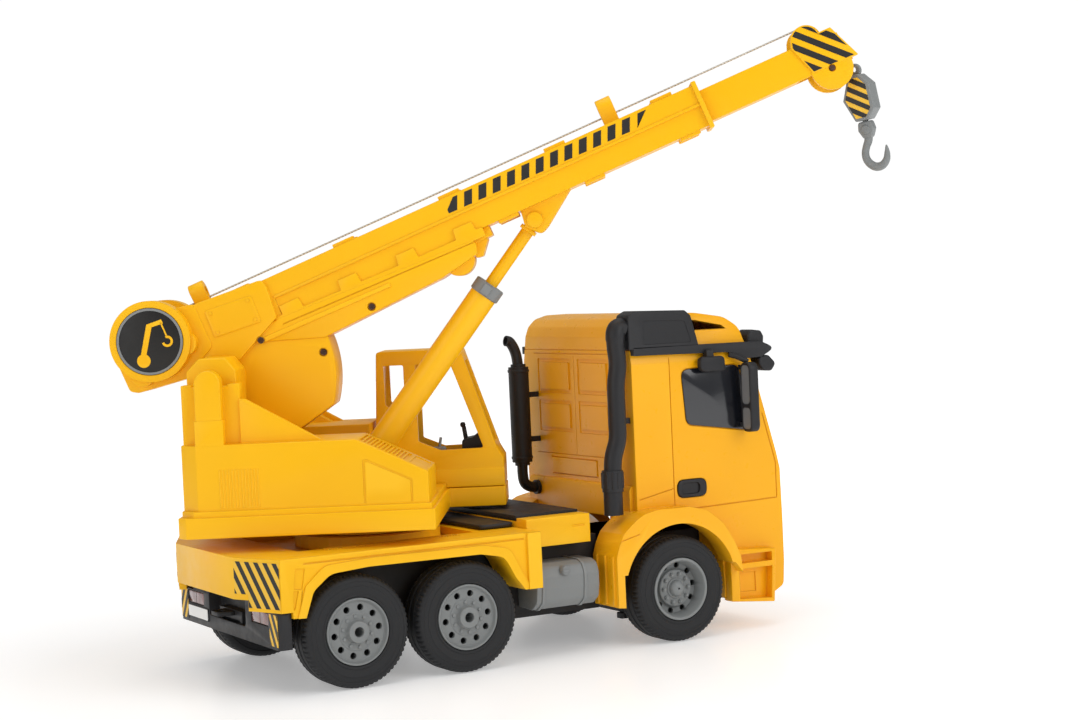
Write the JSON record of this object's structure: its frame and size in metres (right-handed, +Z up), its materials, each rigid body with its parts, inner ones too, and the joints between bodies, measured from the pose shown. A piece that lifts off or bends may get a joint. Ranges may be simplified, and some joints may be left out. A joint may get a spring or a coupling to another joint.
{
  "type": "toy crane truck",
  "caption": "Plastic toy truck with a turning upper deck, a raising telescopic boom and a hook on a winch rope.",
  "frame": {"origin": "on the flat underside of the chassis, under the axis the upper deck turns about", "axes": "+X towards the front of the truck, +Y to the truck's left, +Z up; at rest the upper deck is turned 31 degrees to the truck's right and the boom is raised 21.65 degrees above level"},
  "size_m": [0.3671, 0.2544, 0.3288],
  "materials": {
    "yellow_plastic": "moulded yellow plastic, satin gloss",
    "cab_yellow_plastic": "moulded orange-yellow plastic, gloss",
    "black_plastic": "moulded black plastic, satin",
    "grey_plastic": "moulded grey plastic, satin",
    "tyre_rubber": "soft black tyre with fine tread blocks",
    "dark_glazing": "near-black smoked plastic, gloss",
    "red_lens": "dark red lens plastic",
    "clear_lens": "clear lens plastic over a bright back",
    "axle_steel": "drawn steel rod",
    "rope_cord": "thin twisted cord"
  },
  "bodies": {
    "truck": {"chassis_frame": "black_plastic", "deck_body": "yellow_plastic", "deck_bridge": "yellow_plastic", "step_plate_lower": "black_plastic", "step_plate_upper": "black_plastic", "rear_bumper": "black_plastic", "tail_lamp_left": "red_lens", "tail_lamp_right": "red_lens", "fuel_tank_left": "grey_plastic", "fuel_tank_right": "grey_plastic", "cab_shell": "cab_yellow_plastic", "side_window_left": "dark_glazing", "side_window_right": "dark_glazing", "windscreen": "dark_glazing", "radiator_grille": "black_plastic", "headlight_left": "clear_lens", "headlight_right": "clear_lens", "air_intake_box": "black_plastic", "sun_visor": "black_plastic", "intake_snorkel": "black_plastic", "exhaust_stack": "black_plastic", "main_mirror_left": "black_plastic", "main_mirror_right": "black_plastic", "slew_ring": "yellow_plastic"},
    "rear_wheels": {"rear_axle": "axle_steel", "tyre_rear_left": "tyre_rubber", "tyre_rear_right": "tyre_rubber", "rim_rear_left": "grey_plastic", "rim_rear_right": "grey_plastic"},
    "middle_wheels": {"middle_axle": "axle_steel", "tyre_middle_left": "tyre_rubber", "tyre_middle_right": "tyre_rubber", "rim_middle_left": "grey_plastic", "rim_middle_right": "grey_plastic"},
    "steering_left": {"knuckle_left": "black_plastic"},
    "steering_right": {"knuckle_right": "black_plastic"},
    "tie_rod": {"tie_rod": "black_plastic"},
    "front_wheel_left": {"tyre_front_left": "tyre_rubber", "rim_front_left": "grey_plastic"},
    "front_wheel_right": {"tyre_front_right": "tyre_rubber", "rim_front_right": "grey_plastic"},
    "upper_deck": {"upper_deck": "yellow_plastic", "operator_cab": "yellow_plastic", "operator_seat": "grey_plastic", "operator_console": "black_plastic"},
    "boom": {"boom_base": "yellow_plastic", "winch_cap_left": "black_plastic", "winch_cap_right": "black_plastic", "hoist_rope_base": "rope_cord"},
    "winch_drum": {"winch_drum": "black_plastic"},
    "boom_head": {"boom_inner": "yellow_plastic", "hoist_rope_head": "rope_cord"},
    "rope_wheel_top": {"rope_wheel_top": "yellow_plastic"},
    "rope_wheel_head": {"rope_wheel_head": "yellow_plastic"},
    "cylinder_rod": {"cylinder_rod": "yellow_plastic"},
    "cylinder_tube": {"cylinder_tube": "yellow_plastic", "cylinder_collar": "grey_plastic"},
    "hook_line": {"hoist_rope_drop": "rope_cord"},
    "hook_block": {"hook_block": "grey_plastic"},
    "hook": {"hook": "grey_plastic"}
  },
  "joints": [
    {"name": "rear_axle_spin", "type": "hinge", "parent": "truck", "child": "rear_wheels", "pos_m": [-0.04, 0, 0.0088], "axis": [0, 1, 0], "continuous": true},
    {"name": "middle_axle_spin", "type": "hinge", "parent": "truck", "child": "middle_wheels", "pos_m": [0.022, 0, 0.0088], "axis": [0, 1, 0], "continuous": true},
    {"name": "steer_left", "type": "hinge", "parent": "truck", "child": "steering_left", "pos_m": [0.1525, 0.044, 0.0088], "axis": [0, 0, 1], "range_deg": [-16, 16]},
    {"name": "steer_right", "type": "hinge", "parent": "truck", "child": "steering_right", "pos_m": [0.1525, -0.044, 0.0088], "axis": [0, 0, 1], "range_deg": [-16, 16]},
    {"name": "tie_rod_shift", "type": "slide", "parent": "truck", "child": "tie_rod", "axis": [0, 1, 0], "range_m": [-0.0056, 0.0056]},
    {"name": "front_left_spin", "type": "hinge", "parent": "steering_left", "child": "front_wheel_left", "pos_m": [0.1525, 0.061, 0.0088], "axis": [0, 1, 0], "continuous": true},
    {"name": "front_right_spin", "type": "hinge", "parent": "steering_right", "child": "front_wheel_right", "pos_m": [0.1525, -0.061, 0.0088], "axis": [0, 1, 0], "continuous": true},
    {"name": "slew", "type": "hinge", "parent": "truck", "child": "upper_deck", "pos_m": [0, 0, 0.049], "axis": [0, 0, 1], "range_deg": [-104, 166]},
    {"name": "boom_luff", "type": "hinge", "parent": "upper_deck", "child": "boom", "pos_m": [-0.06043, 0.03631, 0.1355], "axis": [-0.515, -0.8572, 0], "range_deg": [-16.65, 28.35]},
    {"name": "telescope", "type": "slide", "parent": "boom", "child": "boom_head", "axis": [0.7967, -0.4787, 0.3689], "range_m": [-0.044, 0.09]},
    {"name": "hook_line_swing", "type": "hinge", "parent": "boom_head", "child": "hook_line", "pos_m": [0.22019, -0.13231, 0.28406], "axis": [-0.515, -0.8572, 0], "range_deg": [-28.4, 16.7]},
    {"name": "hoist", "type": "slide", "parent": "hook_line", "child": "hook_block", "axis": [0, 0, -1], "range_m": [0, 0.2]},
    {"name": "hook_swivel", "type": "hinge", "parent": "hook_block", "child": "hook", "pos_m": [0.23134, -0.139, 0.28316], "axis": [-0.1488, 0.0894, 0.9848], "continuous": true},
    {"name": "winch_spin", "type": "hinge", "parent": "boom", "child": "winch_drum", "pos_m": [-0.09147, 0.05496, 0.15706], "axis": [0.515, 0.8572, 0], "range_deg": [-5, 1550]},
    {"name": "head_wheel_spin", "type": "hinge", "parent": "boom_head", "child": "rope_wheel_head", "pos_m": [0.22019, -0.13231, 0.28406], "axis": [0.515, 0.8572, 0], "range_deg": [-5, 1450]},
    {"name": "top_wheel_spin", "type": "hinge", "parent": "boom_head", "child": "rope_wheel_top", "pos_m": [0.20977, -0.12604, 0.29979], "axis": [0.515, 0.8572, 0], "range_deg": [-5, 1710]},
    {"name": "cylinder_swing", "type": "hinge", "parent": "boom", "child": "cylinder_rod", "pos_m": [0.08352, -0.05019, 0.21195], "axis": [-0.515, -0.8572, 0], "range_deg": [-3.74, 2.21]},
    {"name": "cylinder_stroke", "type": "slide", "parent": "cylinder_rod", "child": "cylinder_tube", "axis": [-0.5196, 0.3122, -0.7954], "range_m": [-0.02451, 0.04166]}
  ],
  "couplings": [
    {"joint": "steer_right", "follows": "steer_left", "ratio": 1},
    {"joint": "tie_rod_shift", "follows": "steer_left", "m_per_rad": -0.02},
    {"joint": "hook_line_swing", "follows": "boom_luff", "ratio": -1},
    {"joint": "cylinder_swing", "follows": "boom_luff", "ratio": -0.13},
    {"joint": "cylinder_stroke", "follows": "boom_luff", "m_per_rad": 0.084},
    {"joint": "winch_spin", "follows": "hoist", "rad_per_m": 134},
    {"joint": "head_wheel_spin", "follows": "hoist", "rad_per_m": 125},
    {"joint": "top_wheel_spin", "follows": "hoist", "rad_per_m": 148}
  ]
}
